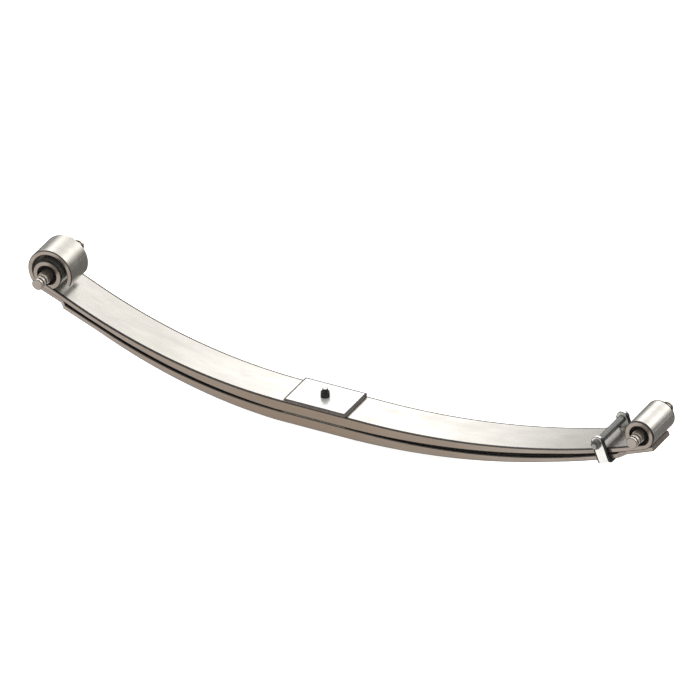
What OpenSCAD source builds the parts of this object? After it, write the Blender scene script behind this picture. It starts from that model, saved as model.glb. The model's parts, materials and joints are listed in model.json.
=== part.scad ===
// Two-leaf taper spring for a truck's steering axle, in millimetres.
// +X runs along the spring to its rear eye, +Z is up, and -Y faces the near side.
// The origin is on the centre bolt's axis, at the seat face under the second leaf.

/* [Leaves] */
// Width of both leaves
leaf_w = 101.6; // [84:0.1:125]
// Thickness of each leaf over the axle seat
seat_t = 23.5; // [19:0.5:29]
// Thickness of each leaf from the end of its taper to its tip
tip_t = 11.3; // [9.2:0.1:14]
// Distance from the centre bolt at which both leaves begin to taper
taper_start = 94; // [80:1:115]

/* [Front arm] */
// Centre bolt to front eye centre, along the spring
front_arm = 630; // [525:1:760]
// Height of the front eye centre above the main leaf's top face at the seat
front_rise = 156; // [130:0.5:190]
// Length of the main leaf's flat ahead of the top plate
front_flat_past = 0.5; // [0.5:0.5:15]
// Straight length that runs into the front eye
front_lead = 80; // [20:1:100]
// Distance from the centre bolt at which the front taper ends
front_taper_end = 505; // [400:1:600]

/* [Rear arm] */
// Centre bolt to rear eye centre, along the spring
rear_arm = 759.5; // [630:0.5:915]
// Height of the rear eye centre above the main leaf's top face at the seat
rear_rise = 143.4; // [120:0.1:175]
// Length of both leaves' flats behind the top plate
rear_flat_past = 41.5; // [15:0.5:60]
// Straight length that runs into the rear eye
rear_lead = 20; // [5:1:60]
// Distance from the centre bolt at which the rear taper ends
rear_taper_end = 545; // [450:1:650]

/* [Eyes] */
// Radius of both rolled eyes' bores
eye_r = 21.8; // [18:0.1:27]
// Seam between each eye's rolled end and the leaf's top face
roll_seam = 1; // [0.5:0.1:2]

/* [Second leaf] */
// Length of the second leaf's flat ahead of the liner
second_flat_past = 0.5; // [0.5:0.5:15]
// Straight length that runs into the second leaf's wrap
second_front_lead = 175; // [60:1:195]
// Straight length that passes under the rear eye
second_rear_lead = 65; // [20:1:80]
// Free space between the front eye and the wrap around it
wrap_gap = 7.4; // [5:0.1:9]
// Angle below horizontal at which the wrap ends, on its inboard side
wrap_end = 24; // [10:1:32]
// Width of each shoulder where the second leaf narrows to its tongues
shoulder_w = 12.7; // [8:0.1:18]
// Front shoulder to front eye centre, along the spring
front_tongue = 42; // [30:1:60]
// Rear shoulder to rear eye centre, along the spring
rear_tongue = 50; // [45:1:56]
// Length of the rear tongue past the point where it touches the eye
tongue_overrun = 12; // [4:1:30]

/* [Seat] */
// Length of the top plate and of the liner
plate_len = 145; // [120:1:160]
// Thickness of the top plate
plate_t = 7; // [5:0.5:10]
// Thickness of the liner between the leaves
liner_t = 1.6; // [1:0.1:3]

/* [Centre bolt] */
// Diameter of the centre bolt
centre_bolt_d = 12.7; // [10:0.1:16]
// Length of the centre bolt above the top plate
centre_bolt_proud = 18.9; // [16:0.1:26]
// Diameter of the round locating head under the seat
centre_head_d = 22; // [19:0.5:30]
// Height of the locating head
centre_head_h = 11; // [6:0.5:16]
// Size of the centre bolt's nut across its flats
centre_nut_flats = 19; // [18:0.5:26]
// Height of the centre bolt's nut
centre_nut_h = 11.5; // [8:0.5:14]
// Depth of the spot faces that the bolt's head and nut sit in
spot_depth = 0.5; // [0.3:0.1:1.5]
// Radial space round the head and the nut in their spot faces
spot_space = 1; // [0.5:0.5:3]

/* [Rebound clip] */
// Rear eye centre to the middle of the clip's strap, along the spring
clip_from_eye = 80.5; // [72:0.5:110]
// Width of the clip's strap
strap_w = 29.5; // [25:0.5:35]
// Thickness of the clip's strap
strap_t = 7; // [5:0.1:9]
// Space between the leaf's edge and each ear
ear_space = 3.2; // [1.5:0.1:5]
// Inside radius of the strap's two bends
strap_bend_r = 3; // [1.5:0.5:5]
// Diameter of the clip bolt
clip_bolt_d = 12.7; // [10:0.1:14]
// Outside diameter of the spacer tube
tube_d = 16.8; // [16.5:0.1:21]
// Space between the main leaf's top face and the spacer tube
tube_space = 9.2; // [4:0.1:14]
// Size of the clip bolt's head and nut across their flats
clip_flats = 19; // [17:0.5:22]
// Height of the clip nut
clip_nut_h = 11; // [8:0.5:14]
// Height of the clip bolt's head
clip_head_h = 8; // [6:0.5:11]
// Length of the clip bolt past its nut
clip_bolt_proud = 5; // [2:0.5:12]
// Diameter of the rivet that holds the clip to the second leaf
rivet_d = 10; // [8:0.5:13]
// Diameter of the rivet's domed head
rivet_head_d = 19; // [16:0.5:22]
// Height of the rivet's domed head
rivet_head_h = 5; // [3:0.5:7]

/* [Bushes] */
// Wall of the steel bush shell
shell_t = 2; // [1:0.1:3]
// Distance of the bush shell's ends inside the leaf's edges
shell_inset = 4.8; // [1:0.1:10]
// Depth of the rubber's end faces inside the shell
rubber_recess = 1; // [0.5:0.1:3]

/* [Eye pins] */
// Radius of the pin inside the rubber
pin_r = 14; // [13:0.1:15]
// Radius of the pin's turned ends
pin_end_r = 12.6; // [10:0.1:12.9]
// Length of the front eye's pin past each edge of the leaf
front_pin_proud = 44.2; // [33:0.1:60]
// Length of the rear eye's pin past each edge of the leaf
rear_pin_proud = 34.2; // [31:0.1:50]
// Length of the front pin's end disc, outside its first groove
front_disc = 6; // [3:0.5:7]
// Length of the rear pin's end disc, outside its first groove
rear_disc = 4.5; // [3:0.5:5]
// Distance from one clamp groove to the next
groove_pitch = 10.5; // [9:0.1:11]
// Width of each clamp groove
groove_w = 4.4; // [2:0.1:6]
// Depth of each clamp groove
groove_depth = 2.3; // [1:0.1:4]

/* [Front tip pad] */
// Front eye centre to the middle of the pad, along the spring
pad_from_eye = 88; // [75:1:130]
// Length of the pad
pad_len = 50; // [30:1:70]
// Distance of the pad's ends inside the leaf's edges
pad_inset = 20.8; // [10:0.1:30]
// Radius of the spigot that holds the pad in the second leaf
spigot_r = 5; // [3:0.5:8]
// Depth of the spigot in the second leaf
spigot_len = 6; // [3:0.5:7]

/* [Fits] */
// Radial space round the bolts and the rivet in their holes
hole_space = 0.4; // [0.2:0.1:1]
// Radial running clearance of the pins in the rubber and of the tube on its bolt
running = 0.05; // [0.02:0.01:0.1]
// End float of the spacer tube at each ear
tube_float = 0.4; // [0.2:0.1:1]
// Space between the rear tongue and the eye that rests on it
tongue_space = 0.2; // [0.1:0.1:1]

/* [Hidden] */
$fn = 96;

// Stations along each arm's bend
BEND_STEPS = 28;
// Clamp grooves at each end of a pin
GROOVES = 3;
// Chamfer on bolt ends, nuts and pin ends
CHAMFER = 1;
// Reach of a cutting shape past the faces that it cuts
OVER = 1;
// A leaf's faces stand this much nearer an eye's centre than the eye's own wall, and run this far
// past the point where they meet it, so that the wall and the leaf cross cleanly
ROLL_LAP = 0.15;
ROLL_RUN = 2;
// Length of the eye's wall inboard of that point, at the root of its seam
SEAM_ROOT = 5;

// Places in an arm: [flat, bend radius, end slope, straight run, end of the taper]
FLAT = 0;
BEND = 1;
SLOPE = 2;
RUN = 3;
TAPER_END = 4;

// An arm's top face starts flat, bends at one radius and ends in a straight run. The run is tangent
// under a circle of radius r, whose centre stands at (reach, rise) from the start of the face.
function bend_radius(reach, rise, flat, lead, r) =
    (pow(reach - flat, 2) + pow(rise - r, 2) - pow(lead, 2)) / (2 * (rise - r)) + r;
function end_slope(reach, rise, flat, lead, r) =
    let (inner = bend_radius(reach, rise, flat, lead, r) - r)
    atan2(reach - flat, inner + r - rise) - atan2(lead, inner);
function arm(reach, rise, flat, lead, r, taper_end, overrun = 0) = [
    flat,
    bend_radius(reach, rise, flat, lead, r),
    end_slope(reach, rise, flat, lead, r),
    lead + overrun,
    taper_end,
];

// [x, z, slope] at each station of an arm's top face
function stations(a) = concat(
    [for (x = [0, taper_start]) if (x < a[FLAT]) [x, 0, 0]],
    [for (i = [0:BEND_STEPS]) let (s = a[SLOPE] * i / BEND_STEPS)
        [a[FLAT] + a[BEND] * sin(s), a[BEND] * (1 - cos(s)), s]],
    [[a[FLAT] + a[BEND] * sin(a[SLOPE]) + a[RUN] * cos(a[SLOPE]),
      a[BEND] * (1 - cos(a[SLOPE])) + a[RUN] * sin(a[SLOPE]), a[SLOPE]]]);
function thickness(x, a) =
    seat_t - (seat_t - tip_t) * min(1, max(0, (x - taper_start) / (a[TAPER_END] - taper_start)));
function top_edge(a) = [for (p = stations(a)) [p.x, p.y]];
function bottom_edge(a) = [for (p = stations(a)) let (t = thickness(p.x, a))
    [p.x + t * sin(p.z), p.y - t * cos(p.z)]];
function reversed(list) = [for (i = [len(list) - 1:-1:0]) list[i]];
function flipped(list) = [for (p = list) [-p.x, p.y]];
function but_first(list) = [for (i = [1:len(list) - 1]) list[i]];

// Height and slope of an arm's top face at a distance from the centre bolt
function bend_end(a) = a[FLAT] + a[BEND] * sin(a[SLOPE]);
function slope_at(x, a) = x > bend_end(a) ? a[SLOPE] : asin(max(0, x - a[FLAT]) / a[BEND]);
function height_at(x, a) =
    let (on_bend = min(x, bend_end(a)))
    a[BEND] * (1 - cos(slope_at(on_bend, a))) + (x - on_bend) * tan(a[SLOPE]);

front_flat = plate_len / 2 + front_flat_past;
rear_flat = plate_len / 2 + rear_flat_past;
second_front_flat = plate_len / 2 + second_flat_past;
tongue_w = leaf_w - 2 * shoulder_w;
shell_len = leaf_w - 2 * shell_inset;
front_pin_len = leaf_w + 2 * front_pin_proud;
rear_pin_len = leaf_w + 2 * rear_pin_proud;
pad_w = leaf_w - 2 * pad_inset;

eye_out_r = eye_r + tip_t;
wrap_r = eye_out_r + wrap_gap;
second_top_z = seat_t;
main_top_z = seat_t + liner_t + seat_t;
plate_top_z = main_top_z + plate_t;
front_eye = [-front_arm, 0, main_top_z + front_rise];
rear_eye = [rear_arm, 0, main_top_z + rear_rise];
second_drop = main_top_z - second_top_z;

main_front = arm(front_arm, front_rise, front_flat, front_lead, eye_r - ROLL_LAP, front_taper_end,
    ROLL_RUN);
main_rear = arm(rear_arm, rear_rise, rear_flat, rear_lead, eye_r - ROLL_LAP, rear_taper_end,
    ROLL_RUN);
second_front = arm(front_arm, front_rise + second_drop, second_front_flat, second_front_lead,
    wrap_r - ROLL_LAP, front_taper_end, ROLL_RUN);
second_rear = arm(rear_arm, rear_rise + second_drop, rear_flat, second_rear_lead,
    eye_out_r + tongue_space, rear_taper_end, tongue_overrun);

// The clip's own frame: x along the second leaf, z square to it, from the leaf's top face
clip_x = rear_arm - clip_from_eye;
clip_slope = slope_at(clip_x, second_rear);
clip_leaf_t = thickness(clip_x, second_rear);
clip_main_top = (second_drop + height_at(clip_x, main_rear) - height_at(clip_x, second_rear))
    * cos(clip_slope);
clip_bolt_z = clip_main_top + tube_space + tube_d / 2;
ear_in = leaf_w / 2 + ear_space;
ear_out = ear_in + strap_t;

pad_x = front_arm - pad_from_eye;
pad_slope = slope_at(pad_x, second_front);
pad_gap = (second_drop + height_at(pad_x, main_front) - height_at(pad_x, second_front)) * cos(pad_slope)
    - thickness(pad_x, main_front);

// ---- shared shapes ----

module along_y(length) {
    rotate([90, 0, 0])
        linear_extrude(length, center = true)
            children();
}

module leaf_side(front, rear) {
    polygon(concat(
        flipped(reversed(top_edge(front))), but_first(top_edge(rear)),
        reversed(but_first(bottom_edge(rear))), flipped(bottom_edge(front))));
}

// Rolled eye in side view, on an arm that runs towards +X. Its end stands a seam above the leaf.
module eye_side(slope) {
    reach = 2 * eye_out_r;
    difference() {
        circle(eye_out_r);
        rotate(slope)
            translate([-reach, -reach])
                square([reach - SEAM_ROOT, reach - eye_r + ROLL_LAP + roll_seam]);
    }
}

// Wrap in side view, on an arm that runs towards +X
module wrap_side(slope) {
    open_from = 180 + wrap_end;
    open_to = 270 + slope - asin(SEAM_ROOT / wrap_r);
    reach = 2 * (wrap_r + tip_t);
    difference() {
        circle(wrap_r + tip_t);
        polygon(concat([[0, 0]], [for (k = [0:2]) let (at = open_from + (open_to - open_from) * k / 2)
            reach * [cos(at), sin(at)]]));
    }
}

module main_side() {
    translate([0, main_top_z])
        leaf_side(main_front, main_rear);
}

module second_side() {
    translate([0, second_top_z])
        leaf_side(second_front, second_rear);
}

// A round bar along z, from z = 0, with a chamfer at its far end
module chamfered_bar(r, h, chamfer = CHAMFER) {
    rotate_extrude()
        polygon([[0, 0], [r, 0], [r, h - chamfer], [r - chamfer, h], [0, h]]);
}

// A hexagon with both faces' corners turned off
module hex_block(flats, h) {
    corner_r = flats / (2 * cos(30));
    drop = corner_r - flats / 2;
    intersection() {
        cylinder(h, r = corner_r, $fn = 6);
        rotate_extrude()
            polygon([[0, 0], [flats / 2, 0], [corner_r, drop * tan(30)],
                [corner_r, h - drop * tan(30)], [flats / 2, h], [0, h]]);
    }
}

module hex_nut(flats, h, bolt_d) {
    difference() {
        hex_block(flats, h);
        translate([0, 0, -OVER])
            cylinder(h + 2 * OVER, d = bolt_d);
    }
}

module centre_hole() {
    translate([0, 0, -OVER])
        cylinder(plate_top_z + 2 * OVER, d = centre_bolt_d + 2 * hole_space);
}

// Round spot face, open upwards
module spot_face(r) {
    translate([0, 0, -spot_depth])
        cylinder(spot_depth + OVER, r = r + spot_space);
}

module at_clip() {
    translate([clip_x, 0, second_top_z + height_at(clip_x, second_rear)])
        rotate([0, -clip_slope, 0])
            children();
}

module at_pad() {
    translate([-pad_x, 0, second_top_z + height_at(pad_x, second_front)])
        rotate([0, pad_slope, 0])
            children();
}

module bush_shell() {
    along_y(shell_len)
        difference() {
            circle(eye_r);
            circle(eye_r - shell_t);
        }
}

module bush_rubber() {
    along_y(shell_len - 2 * rubber_recess)
        difference() {
            circle(eye_r - shell_t);
            circle(pin_r + running);
        }
}

// Eye pin with a row of clamp grooves at both ends
module eye_pin(length, disc) {
    grooved = disc + (GROOVES - 1) * groove_pitch + groove_w;
    along_y(length - 2 * grooved)
        circle(pin_r);
    for (side = [-1, 1])
        rotate([90 * side, 0, 0])
            translate([0, 0, length / 2 - grooved])
                difference() {
                    chamfered_bar(pin_end_r, grooved);
                    for (k = [0:GROOVES - 1])
                        translate([0, 0, k * groove_pitch])
                            rotate_extrude()
                                translate([pin_end_r - groove_depth, 0])
                                    square([groove_depth + OVER, groove_w]);
                }
}

// ---- pieces ----

module main_leaf() {
    color([0.67, 0.62, 0.57])
        difference() {
            union() {
                along_y(leaf_w)
                    main_side();
                along_y(leaf_w)
                    translate([front_eye.x, front_eye.z])
                        mirror([1, 0])
                            eye_side(main_front[SLOPE]);
                along_y(leaf_w)
                    translate([rear_eye.x, rear_eye.z])
                        eye_side(main_rear[SLOPE]);
            }
            for (eye = [front_eye, rear_eye])
                translate(eye)
                    along_y(leaf_w + 2 * OVER)
                        circle(eye_r);
            centre_hole();
        }
}

// Full-width part of the second leaf in plan, with a shoulder down to the tongue at each end
module second_plan() {
    front_x = front_arm - front_tongue;
    rear_x = rear_arm - rear_tongue;
    far_front = front_arm + 2 * wrap_r;
    far_rear = rear_arm + 2 * wrap_r;
    half = [
        [-far_front, tongue_w / 2], [-front_x - shoulder_w, tongue_w / 2], [-front_x, leaf_w / 2],
        [rear_x, leaf_w / 2], [rear_x + shoulder_w, tongue_w / 2], [far_rear, tongue_w / 2],
    ];
    polygon(concat(half, [for (p = reversed(half)) [p.x, -p.y]]));
}

module wrapper_leaf() {
    color([0.69, 0.64, 0.59])
        difference() {
            union() {
                intersection() {
                    along_y(leaf_w)
                        second_side();
                    translate([0, 0, -OVER])
                        linear_extrude(front_eye.z + rear_eye.z)
                            second_plan();
                }
                along_y(tongue_w)
                    translate([front_eye.x, front_eye.z])
                        mirror([1, 0])
                            wrap_side(second_front[SLOPE]);
            }
            translate(front_eye)
                along_y(leaf_w + 2 * OVER)
                    circle(wrap_r);
            centre_hole();
            mirror([0, 0, 1])
                spot_face(centre_head_d / 2);
            at_clip()
                translate([0, 0, -clip_leaf_t - OVER])
                    cylinder(clip_leaf_t + 2 * OVER, d = rivet_d + 2 * hole_space);
            at_pad()
                translate([0, 0, -spigot_len])
                    cylinder(spigot_len + OVER, r = spigot_r);
        }
}

module centre_liner() {
    color([0.24, 0.22, 0.20])
        difference() {
            translate([-plate_len / 2, -leaf_w / 2, second_top_z])
                cube([plate_len, leaf_w, liner_t]);
            centre_hole();
        }
}

module top_plate() {
    color([0.90, 0.88, 0.85])
        difference() {
            translate([-plate_len / 2, -leaf_w / 2, main_top_z])
                cube([plate_len, leaf_w, plate_t]);
            centre_hole();
            translate([0, 0, plate_top_z])
                spot_face(centre_nut_flats / (2 * cos(30)));
        }
}

module centre_bolt() {
    color([0.15, 0.15, 0.16]) {
        chamfered_bar(centre_bolt_d / 2, plate_top_z + centre_bolt_proud);
        cylinder(spot_depth, d = centre_head_d - 2 * spot_space);
        mirror([0, 0, 1])
            chamfered_bar(centre_head_d / 2, centre_head_h, 2 * CHAMFER);
    }
}

module centre_bolt_nut() {
    color([0.18, 0.18, 0.19])
        translate([0, 0, plate_top_z - spot_depth])
            hex_nut(centre_nut_flats, centre_nut_h, centre_bolt_d);
}

// The clip's U in end view, with bent corners
module strap_u() {
    base_z = -clip_leaf_t;
    top_z = clip_bolt_z + strap_w;
    out_r = strap_bend_r + strap_t;
    for (side = [-1, 1]) {
        translate([side > 0 ? ear_in : -ear_out, base_z + strap_bend_r])
            square([strap_t, top_z - base_z - strap_bend_r]);
        translate([side * (ear_in - strap_bend_r), base_z + strap_bend_r])
            intersection() {
                difference() {
                    circle(out_r);
                    circle(strap_bend_r);
                }
                translate([side > 0 ? 0 : -out_r, -out_r])
                    square(out_r);
            }
    }
    translate([-ear_in + strap_bend_r, base_z - strap_t])
        square([2 * (ear_in - strap_bend_r), strap_t]);
}

module rebound_clip() {
    strap_z = -clip_leaf_t - strap_t;
    color([0.93, 0.90, 0.88])
        at_clip()
            difference() {
                intersection() {
                    rotate([90, 0, 90])
                        linear_extrude(strap_w, center = true)
                            strap_u();
                    along_y(2 * ear_out + 2 * OVER) {
                        translate([-strap_w / 2, strap_z - OVER])
                            square([strap_w, clip_bolt_z - strap_z + OVER]);
                        translate([0, clip_bolt_z])
                            circle(d = strap_w);
                    }
                }
                translate([0, 0, clip_bolt_z])
                    rotate([90, 0, 0])
                        cylinder(2 * ear_out + 2 * OVER, d = clip_bolt_d + 2 * hole_space, center = true);
                translate([0, 0, strap_z - OVER])
                    cylinder(strap_t + 2 * OVER, d = rivet_d + 2 * hole_space);
            }
}

module clip_rivet() {
    head_z = -clip_leaf_t - strap_t;
    dome_r = (pow(rivet_head_d / 2, 2) + pow(rivet_head_h, 2)) / (2 * rivet_head_h);
    color([0.60, 0.56, 0.52])
        at_clip() {
            translate([0, 0, head_z])
                cylinder(-head_z, d = rivet_d);
            intersection() {
                translate([0, 0, head_z - rivet_head_h + dome_r])
                    sphere(dome_r);
                translate([0, 0, head_z - rivet_head_h])
                    cylinder(rivet_head_h, d = rivet_head_d);
            }
        }
}

module clip_bolt() {
    shank = 2 * ear_out + clip_nut_h + clip_bolt_proud;
    color([0.20, 0.20, 0.21])
        at_clip()
            translate([0, ear_out, clip_bolt_z])
                rotate([90, 0, 0]) {
                    chamfered_bar(clip_bolt_d / 2, shank);
                    translate([0, 0, -clip_head_h])
                        hex_block(clip_flats, clip_head_h);
                }
}

module clip_nut() {
    color([0.22, 0.22, 0.23])
        at_clip()
            translate([0, -ear_out, clip_bolt_z])
                rotate([90, 0, 0])
                    hex_nut(clip_flats, clip_nut_h, clip_bolt_d);
}

module clip_spacer_tube() {
    color([0.38, 0.38, 0.37])
        at_clip()
            translate([0, 0, clip_bolt_z])
                along_y(2 * (ear_in - tube_float))
                    difference() {
                        circle(d = tube_d);
                        circle(clip_bolt_d / 2 + running);
                    }
}

module front_tip_pad() {
    color([0.13, 0.12, 0.11]) {
        along_y(pad_w)
            difference() {
                translate([-pad_x, second_top_z + height_at(pad_x, second_front)])
                    rotate(-pad_slope)
                        translate([-pad_len / 2, -tip_t / 2])
                            square([pad_len, pad_gap + tip_t]);
                main_side();
                second_side();
            }
        at_pad()
            translate([0, 0, -spigot_len])
                cylinder(spigot_len + pad_gap / 2, r = spigot_r);
    }
}

module front_bush_shell() {
    color([0.25, 0.24, 0.23])
        translate(front_eye)
            bush_shell();
}

module front_bush_rubber() {
    color([0.09, 0.07, 0.06])
        translate(front_eye)
            bush_rubber();
}

module front_eye_pin() {
    color([0.80, 0.77, 0.73])
        translate(front_eye)
            eye_pin(front_pin_len, front_disc);
}

module rear_bush_shell() {
    color([0.25, 0.24, 0.23])
        translate(rear_eye)
            bush_shell();
}

module rear_bush_rubber() {
    color([0.09, 0.07, 0.06])
        translate(rear_eye)
            bush_rubber();
}

module rear_eye_pin() {
    color([0.80, 0.77, 0.73])
        translate(rear_eye)
            eye_pin(rear_pin_len, rear_disc);
}

main_leaf();
wrapper_leaf();
centre_liner();
top_plate();
centre_bolt();
centre_bolt_nut();
rebound_clip();
clip_rivet();
clip_bolt();
clip_nut();
clip_spacer_tube();
front_tip_pad();
front_bush_shell();
front_bush_rubber();
front_eye_pin();
rear_bush_shell();
rear_bush_rubber();
rear_eye_pin();
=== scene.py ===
"""Looks for a two-leaf taper spring with its bushes, eye pins and rebound clip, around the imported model.

Metres, +X towards the rear eye, +Z up, -Y the near side. The origin is on the centre bolt's axis, at
the seat face under the second leaf.
"""
import json
import math

import bmesh
import bpy
from mathutils import Matrix, Vector

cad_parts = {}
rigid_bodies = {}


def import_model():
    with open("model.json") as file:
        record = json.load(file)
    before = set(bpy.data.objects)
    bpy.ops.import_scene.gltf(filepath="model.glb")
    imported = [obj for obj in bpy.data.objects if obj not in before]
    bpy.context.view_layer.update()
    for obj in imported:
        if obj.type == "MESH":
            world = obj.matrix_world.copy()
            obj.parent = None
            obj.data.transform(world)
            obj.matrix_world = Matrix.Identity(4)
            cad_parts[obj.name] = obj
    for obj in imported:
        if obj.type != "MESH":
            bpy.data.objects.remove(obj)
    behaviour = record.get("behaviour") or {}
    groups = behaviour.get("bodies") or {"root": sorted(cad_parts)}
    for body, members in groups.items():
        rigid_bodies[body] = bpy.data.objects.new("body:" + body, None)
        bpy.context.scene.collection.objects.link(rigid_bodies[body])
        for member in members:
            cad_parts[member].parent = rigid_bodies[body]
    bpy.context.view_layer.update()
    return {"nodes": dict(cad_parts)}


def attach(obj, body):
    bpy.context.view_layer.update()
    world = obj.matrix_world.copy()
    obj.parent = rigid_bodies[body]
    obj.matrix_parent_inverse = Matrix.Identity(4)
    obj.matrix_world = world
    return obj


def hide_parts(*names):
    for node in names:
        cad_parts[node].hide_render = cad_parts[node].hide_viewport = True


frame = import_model()

MM = 0.001

# ---- sizes, which repeat the model's own ----

LEAF_W = 101.6 * MM
SEAT_T = 23.5 * MM
TIP_T = 11.3 * MM
TAPER_START = 94 * MM
FRONT_ARM = 630 * MM
REAR_ARM = 759.5 * MM
FRONT_RISE = 156 * MM
REAR_RISE = 143.4 * MM
FRONT_TAPER_END = 505 * MM
REAR_TAPER_END = 545 * MM
FRONT_LEAD = 80 * MM
REAR_LEAD = 20 * MM
SECOND_FRONT_LEAD = 175 * MM
SECOND_REAR_LEAD = 65 * MM
EYE_R = 21.8 * MM
EYE_OUT_R = EYE_R + TIP_T
ROLL_LAP = 0.15 * MM
ROLL_SEAM = 1 * MM + ROLL_LAP
WRAP_GAP = 7.4 * MM
WRAP_R = EYE_OUT_R + WRAP_GAP
WRAP_END = math.radians(24)
SHOULDER_W = 12.7 * MM
FRONT_TONGUE = 42 * MM
REAR_TONGUE = 50 * MM
TONGUE_OVERRUN = 12 * MM
TONGUE_SPACE = 0.2 * MM
PLATE_LEN = 145 * MM
FRONT_FLAT_PAST = 0.5 * MM
REAR_FLAT_PAST = 41.5 * MM
FRONT_FLAT = PLATE_LEN / 2 + FRONT_FLAT_PAST
REAR_FLAT = PLATE_LEN / 2 + REAR_FLAT_PAST
LINER_T = 1.6 * MM
PLATE_T = 7 * MM
SPOT_DEPTH = 0.5 * MM
SPOT_SPACE = 1 * MM

CENTRE_BOLT_D = 12.7 * MM
CENTRE_BOLT_PROUD = 18.9 * MM
CENTRE_HEAD_D = 22 * MM
CENTRE_HEAD_H = 11 * MM
BOLT_CHAMFER = 1 * MM
HEAD_CHAMFER = 2 * BOLT_CHAMFER
CENTRE_NUT_FLATS = 19 * MM
CENTRE_NUT_H = 11.5 * MM

CLIP_FROM_EYE = 80.5 * MM
STRAP_T = 7 * MM
STRAP_W = 29.5 * MM
EAR_SPACE = 3.2 * MM
CLIP_BOLT_D = 12.7 * MM
TUBE_D = 16.8 * MM
TUBE_SPACE = 9.2 * MM
TUBE_FLOAT = 0.4 * MM
CLIP_FLATS = 19 * MM
CLIP_NUT_H = 11 * MM
CLIP_HEAD_H = 8 * MM
CLIP_BOLT_PROUD = 5 * MM
RUNNING = 0.05 * MM

SHELL_T = 2 * MM
SHELL_INSET = 4.8 * MM
SHELL_LEN = LEAF_W - 2 * SHELL_INSET
RUBBER_RECESS = 1 * MM
PIN_R = 14 * MM
PIN_END_R = 12.6 * MM
FRONT_PIN_PROUD = 44.2 * MM
REAR_PIN_PROUD = 34.2 * MM
FRONT_PIN_LEN = LEAF_W + 2 * FRONT_PIN_PROUD
REAR_PIN_LEN = LEAF_W + 2 * REAR_PIN_PROUD
FRONT_DISC = 6 * MM
REAR_DISC = 4.5 * MM
GROOVE_PITCH = 10.5 * MM
GROOVE_W = 4.4 * MM
GROOVE_DEPTH = 2.3 * MM
GROOVES = 3

SECOND_TOP = SEAT_T
MAIN_TOP = 2 * SEAT_T + LINER_T
PLATE_TOP = MAIN_TOP + PLATE_T
SECOND_DROP = MAIN_TOP - SECOND_TOP
FRONT_EYE = Vector((-FRONT_ARM, 0, MAIN_TOP + FRONT_RISE))
REAR_EYE = Vector((REAR_ARM, 0, MAIN_TOP + REAR_RISE))

# ---- what only the looks have ----

# How far the edges are rounded
LEAF_EDGE = 2 * MM
PLATE_EDGE = 1 * MM
STRAP_EDGE = 1 * MM
RIVET_EDGE = 0.3 * MM
LINER_EDGE = 0.2 * MM
PAD_EDGE = 0.8 * MM
HEAD_EDGE = 0.5 * MM
TUBE_EDGE = 0.4 * MM
SHELL_EDGE = 0.5 * MM
RUBBER_EDGE = 1.2 * MM
PIN_EDGE = 0.4 * MM

HEX_EASE = 0.35 * MM
HEX_MOUTH = 0.9 * MM
HEX_FACE_SHARE = 0.97

# Where a pin's grooves take painted shade: between two radii, and a little past the first and the last groove
SHADE_FROM_R = 4 * MM
SHADE_TO_R = PIN_END_R - 0.35 * GROOVE_DEPTH
SHADE_BEFORE = 1 * MM
SHADE_PAST = 0.4 * MM

RUBBER_CROWN = 0.5 * MM
RIM = 2.8 * MM
SOFT_STEP = 0.2 * MM
RIM_TONE = (0.004, 0.0035, 0.003)
# Painted shade on a leaf's side faces near the seat: its tone, and how much of it lies over the seat
SEAT_SHADE_TONE = (0.165, 0.122, 0.088)
SEAT_SHADE_SHARE = 0.7
SCREW_FACE_SHARE = 0.36
THREAD_PITCH = 1.75 * MM
THREAD_DEPTH = 0.75 * MM

ALONG_X = (1, 0, 0)
ALONG_Y = (0, 1, 0)
RIGHT_TURN = math.radians(90)
SHARP = math.radians(40)
SMOOTH = math.radians(30)
WELD = 2e-6

# How much of a face's normal lies along an axis, where that picks the faces for another finish, such as
# painted shade
LEAF_SIDE_FROM = 0.99
LEAF_ROUND_FROM = 0.15
SHOULDER_FROM, SHOULDER_TO = 0.65, 0.75
LEAF_END_FROM = 0.8
PLATE_SIDE_TO = 0.1
SCREW_TIP_FROM = 0.95
PIN_END_FROM = 0.95
PIN_ROUND_FROM = 0.3

ARM_STEPS = 70
EYE_STEPS = 72
TURN_STEPS = 96
THREAD_STEPS = 48
THREAD_ROWS = 12


# ---- the leaves' rule ----

class Arm:
    """An arm's top face: flat, then one bend, then a straight run that is tangent under a circle."""

    def __init__(self, reach, rise, flat, lead, radius, taper_end, overrun=0.0):
        span_squared = (reach - flat) ** 2 + (rise - radius) ** 2
        self.bend = (span_squared - lead ** 2) / (2 * (rise - radius)) + radius
        inner = self.bend - radius
        self.slope = math.atan2(reach - flat, inner + radius - rise) - math.atan2(lead, inner)
        self.flat = flat
        self.taper_end = taper_end
        self.bend_end = flat + self.bend * math.sin(self.slope)
        self.end = self.bend_end + (lead + overrun) * math.cos(self.slope)

    def slope_at(self, x):
        if x > self.bend_end:
            return self.slope
        return math.asin(max(0.0, x - self.flat) / self.bend)

    def height_at(self, x):
        on_bend = min(x, self.bend_end)
        return self.bend * (1 - math.cos(self.slope_at(on_bend))) + (x - on_bend) * math.tan(self.slope)

    def thickness_at(self, x):
        share = (x - TAPER_START) / (self.taper_end - TAPER_START)
        return SEAT_T - (SEAT_T - TIP_T) * min(1.0, max(0.0, share))

    def face_pair(self, x, base):
        """The top point at a distance from the centre bolt, and the bottom point square under it."""
        s, t, z = self.slope_at(x), self.thickness_at(x), base + self.height_at(x)
        return (x, z), (x + t * math.sin(s), z - t * math.cos(s))


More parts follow.
